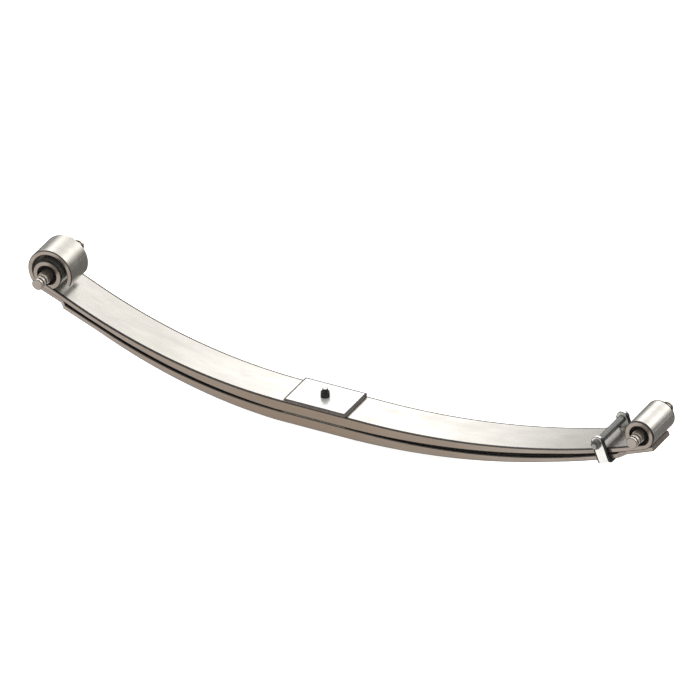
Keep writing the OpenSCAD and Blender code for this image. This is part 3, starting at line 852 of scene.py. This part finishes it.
def clip_hardware():
    """The rebound clip's strap, bolt, nut, spacer tube and rivet."""
    place, bolt_z = clip_frame()
    along = place.to_3x3() @ Vector(ALONG_X)
    middle = along.dot(place.translation)
    steel = ground_steel("ground_clip", (0.60, 0.585, 0.565), (0.54, 0.525, 0.505),
                         [lambda f: f.past(along, STRAP_W / 2 - STRAP_EDGE - RIM, middle)])
    strap = eased_copy("rebound_clip", "clip_strap", STRAP_EDGE, steel, EDGE_OIL)
    placed("clip_strap", strap, "spring_pack", stands_for=("rebound_clip",))

    ear_in = LEAF_W / 2 + EAR_SPACE
    ear_out = ear_in + STRAP_T
    towards_near = place @ Matrix.Translation((0, -ear_out, bolt_z)) @ Matrix.Rotation(RIGHT_TURN, 4, "X")
    nut = hex_mesh("clip_bolt_nut", CLIP_FLATS, CLIP_NUT_H, CLIP_BOLT_D / 2, towards_near, GREY_PHOSPHATE)
    placed("clip_bolt_nut", nut, "spring_pack", stands_for=("clip_nut",))
    screw = screw_end("clip_bolt_screw", CLIP_BOLT_D / 2, CLIP_NUT_H + CLIP_BOLT_PROUD, GREY_PHOSPHATE)
    redress(screw, BOLT_FACE, lambda n, at: n.z > SCREW_TIP_FROM)
    placed("clip_bolt_screw", screw, "spring_pack", towards_near)

    far = place @ Matrix.Translation((0, ear_out, bolt_z)) @ Matrix.Rotation(RIGHT_TURN, 4, "X")
    r = CLIP_BOLT_D / 2
    shank = turned("clip_bolt_shank", [(0, 0), (r, 0), (r, 2 * ear_out), (0, 2 * ear_out)], far,
                   finishes=[GREY_PHOSPHATE])
    placed("clip_bolt_shank", shank, "spring_pack")
    head_at = far @ Matrix.Translation((0, 0, -CLIP_HEAD_H))
    head = hex_mesh("clip_bolt_head", CLIP_FLATS, CLIP_HEAD_H, 0, head_at, GREY_PHOSPHATE)
    placed("clip_bolt_head", head, "spring_pack", stands_for=("clip_bolt",))

    half = ear_in - TUBE_FLOAT
    bore = CLIP_BOLT_D / 2 + RUNNING
    wall = [(TUBE_D / 2, -half), (TUBE_D / 2, half), (bore, half), (bore, -half)]
    at_bolt = place @ Matrix.Translation((0, 0, bolt_z)) @ Matrix.Rotation(RIGHT_TURN, 4, "X")
    tube = turned("spacer_tube", eased(wall, TUBE_EDGE, closed=True), at_bolt, closed=True,
                  finishes=[TUBE_STEEL])
    placed("spacer_tube", tube, "clip_spacer", stands_for=("clip_spacer_tube",))

    rivet = eased_copy("clip_rivet", "clip_rivet_dome", RIVET_EDGE, SECOND_STEEL, EDGE_OIL)
    placed("clip_rivet_dome", rivet, "spring_pack", stands_for=("clip_rivet",))


def pin_profile(length, disc):
    """A pin's (radius, along) points: a plain middle, and grooves behind a disc at each end."""
    grooved = disc + (GROOVES - 1) * GROOVE_PITCH + GROOVE_W
    inner = length / 2 - grooved
    half = [(PIN_R, inner)]
    for k in range(GROOVES):
        start = inner + k * GROOVE_PITCH
        if k:
            half.append((PIN_END_R, start))
        half += [(PIN_END_R - GROOVE_DEPTH, start), (PIN_END_R - GROOVE_DEPTH, start + GROOVE_W),
                 (PIN_END_R, start + GROOVE_W)]
    half += [(PIN_END_R, length / 2 - BOLT_CHAMFER), (PIN_END_R - BOLT_CHAMFER, length / 2),
             (0, length / 2)]
    return [(r, -along) for r, along in reversed(half)] + half


def bush(end, eye, length, disc, body):
    """The shell, the rubber and the pin in one eye."""
    place = Matrix.Translation(eye) @ Matrix.Rotation(RIGHT_TURN, 4, "X")
    half = SHELL_LEN / 2
    wall = [(EYE_R, -half), (EYE_R, half), (EYE_R - SHELL_T, half), (EYE_R - SHELL_T, -half)]
    shell = turned(end + "_shell", eased(wall, SHELL_EDGE, closed=True), place, closed=True,
                   finishes=[SHELL_STEEL])
    placed(end + "_shell", shell, "spring_pack", stands_for=(end + "_bush_shell",))

    face = half - RUBBER_RECESS
    out_r, in_r = EYE_R - SHELL_T, PIN_R + RUNNING
    mid_r = (out_r + in_r) / 2
    ring = [(out_r, -face), (out_r, face), (mid_r, face + RUBBER_CROWN), (in_r, face), (in_r, -face),
            (mid_r, -face - RUBBER_CROWN)]
    rubber = turned(end + "_rubber", eased(ring, RUBBER_EDGE, 4, closed=True), place, closed=True,
                    finishes=[BUSH_RUBBER])
    placed(end + "_rubber", rubber, "spring_pack", stands_for=(end + "_bush_rubber",))

    grooves_to = length / 2 - disc
    grooves_from = grooves_to - (GROOVES - 1) * GROOVE_PITCH - GROOVE_W

    # painted shade in the grooves, and on the collar inside the bush
    def in_shade(r, along):
        sunk = SHADE_FROM_R < r < SHADE_TO_R
        grooved = grooves_from - SHADE_BEFORE < abs(along) < grooves_to + SHADE_PAST
        return sunk and grooved or r > (PIN_R + PIN_END_R) / 2

    pin = turned(end + "_pin", eased(pin_profile(length, disc), PIN_EDGE), place, dark=in_shade,
                 finishes=[PIN_STEEL, PIN_RECESS_SHADE])
    # painted shade on the pin's end faces
    redress(pin, PIN_END_SHADE, lambda n, at: abs(n.y) > PIN_END_FROM)
    redress(pin, EDGE_OIL, lambda n, at: PIN_ROUND_FROM < abs(n.y) < PIN_END_FROM)
    placed(end + "_pin", pin, body, stands_for=(end + "_eye_pin",))


def small_pieces():
    """The liner between the leaves at the seat, dark as painted shade in the gap, and the pad at the front
    tip.
    """
    liner = eased_copy("centre_liner", "seat_liner", LINER_EDGE, LINER_GAP_SHADE, LINER_GAP_SHADE, 1)
    placed("seat_liner", liner, "spring_pack", stands_for=("centre_liner",))
    pad = eased_copy("front_tip_pad", "tip_pad", PAD_EDGE, PAD_PLASTIC, PAD_PLASTIC)
    placed("tip_pad", pad, "spring_pack", stands_for=("front_tip_pad",))


main_leaf()
second_leaf()
seat_hardware()
clip_hardware()
bush("front", FRONT_EYE, FRONT_PIN_LEN, FRONT_DISC, "front_pin")
bush("rear", REAR_EYE, REAR_PIN_LEN, REAR_DISC, "rear_pin")
small_pieces()

# ---- floor, light and camera ----

FLOOR_Z = -CENTRE_HEAD_H
FLOOR_HALF = 6.0
FLAG_FROM = 0.14
FLAG_RISE = 0.001
FLOOR_GLOW = 0.75
SKY_STRENGTH = 4.0
SKY_BLUE_SHARE = 0.985
# Height of each band, as the sine of its elevation, and how bright it is next to the brightest
SKY_BANDS = ((0.0, 0.05), (0.10, 0.09), (0.20, 0.20), (0.30, 0.38), (0.40, 0.76), (0.46, 1.0), (0.55, 1.0),
             (0.62, 0.60), (0.68, 0.46), (0.85, 0.30), (1.0, 0.25))
AIM = Vector((0, 0, PLATE_TOP))
AZIMUTH = math.radians(27.3)
ELEVATION = math.radians(30.5)
FIELD = 1.463
AIM_RIGHT = 0.0518
AIM_UP = 0.0962
LENS = 1500.0
SENSOR = 36.0


def level_square(name, segments, half, middle, finish):
    """A square that lies level about a point."""
    bm = bmesh.new()
    bmesh.ops.create_grid(bm, x_segments=segments, y_segments=segments, size=half)
    bm.transform(Matrix.Translation(middle))
    return in_scene(name, mesh_of(bm, name, [finish]))


def studio_floor():
    """A pale floor that glows a little. The centre bolt's head stands on it."""
    f = Finish("pale_floor")
    tone = f.blend(f.ramp(f.noise(2), 0, 1), (0.50, 0.50, 0.50), (0.52, 0.52, 0.52))
    f.shader.inputs["Emission Color"].default_value = (1, 1, 1, 1)
    f.shader.inputs["Emission Strength"].default_value = FLOOR_GLOW
    finish = f.set(tone, f.ramp(f.noise(5), 0.8, 0.9), specular=0.1)
    floor = level_square("studio_floor", 2, FLOOR_HALF, (0, 0, FLOOR_Z), finish)


def dark_flag():
    """A grey card lying behind the spring, which only reflections see."""
    f = Finish("flag_cloth")
    tone = f.blend(f.ramp(f.noise(30), 0, 1), (0.12, 0.117, 0.114), (0.14, 0.137, 0.134))
    finish = f.set(tone, f.ramp(f.noise(60), 0.8, 0.95), specular=0.1)
    middle = (0, FLAG_FROM + FLOOR_HALF / 2, FLOOR_Z + FLAG_RISE)
    flag = level_square("dark_flag", 1, FLOOR_HALF / 2, middle, finish)
    flag.visible_camera = False
    flag.visible_shadow = False
    flag.visible_diffuse = False


def studio():
    """A grey sky in level bands, brightest about 30 degrees up."""
    world = bpy.data.worlds.new("studio")
    bpy.context.scene.world = world
    world.use_nodes = True
    nodes, links = world.node_tree.nodes, world.node_tree.links
    sky = nodes["Background"]
    height = nodes.new("ShaderNodeSeparateXYZ")
    links.new(nodes.new("ShaderNodeTexCoord").outputs["Generated"], height.inputs[0])
    bands = nodes.new("ShaderNodeValToRGB")
    links.new(height.outputs["Z"], bands.inputs[0])
    ramp = bands.color_ramp
    while len(ramp.elements) < len(SKY_BANDS):
        ramp.elements.new(0.5)
    for element, (at, tone) in zip(ramp.elements, SKY_BANDS):
        element.position = at
        element.color = (tone, tone, tone * SKY_BLUE_SHARE, 1)
    links.new(bands.outputs[0], sky.inputs["Color"])
    sky.inputs["Strength"].default_value = SKY_STRENGTH
    bpy.context.scene.view_settings.view_transform = "Standard"


def camera():
    """A long lens that looks down on the seat from the near side."""
    back = Vector((math.sin(AZIMUTH) * math.cos(ELEVATION), -math.cos(AZIMUTH) * math.cos(ELEVATION),
                   math.sin(ELEVATION)))
    right = Vector((math.cos(AZIMUTH), math.sin(AZIMUTH), 0))
    up = back.cross(right)
    data = bpy.data.cameras.new("studio_camera")
    data.lens, data.sensor_width = LENS, SENSOR
    distance = FIELD / 2 / (SENSOR / 2 / LENS)
    data.clip_start, data.clip_end = 1.0, 2 * distance
    view = in_scene("studio_camera", data)
    view.location = AIM + right * AIM_RIGHT + up * AIM_UP + back * distance
    view.rotation_mode = "QUATERNION"
    view.rotation_quaternion = (-back).to_track_quat("-Z", "Y")
    bpy.context.scene.camera = view


studio_floor()
dark_flag()
studio()
camera()
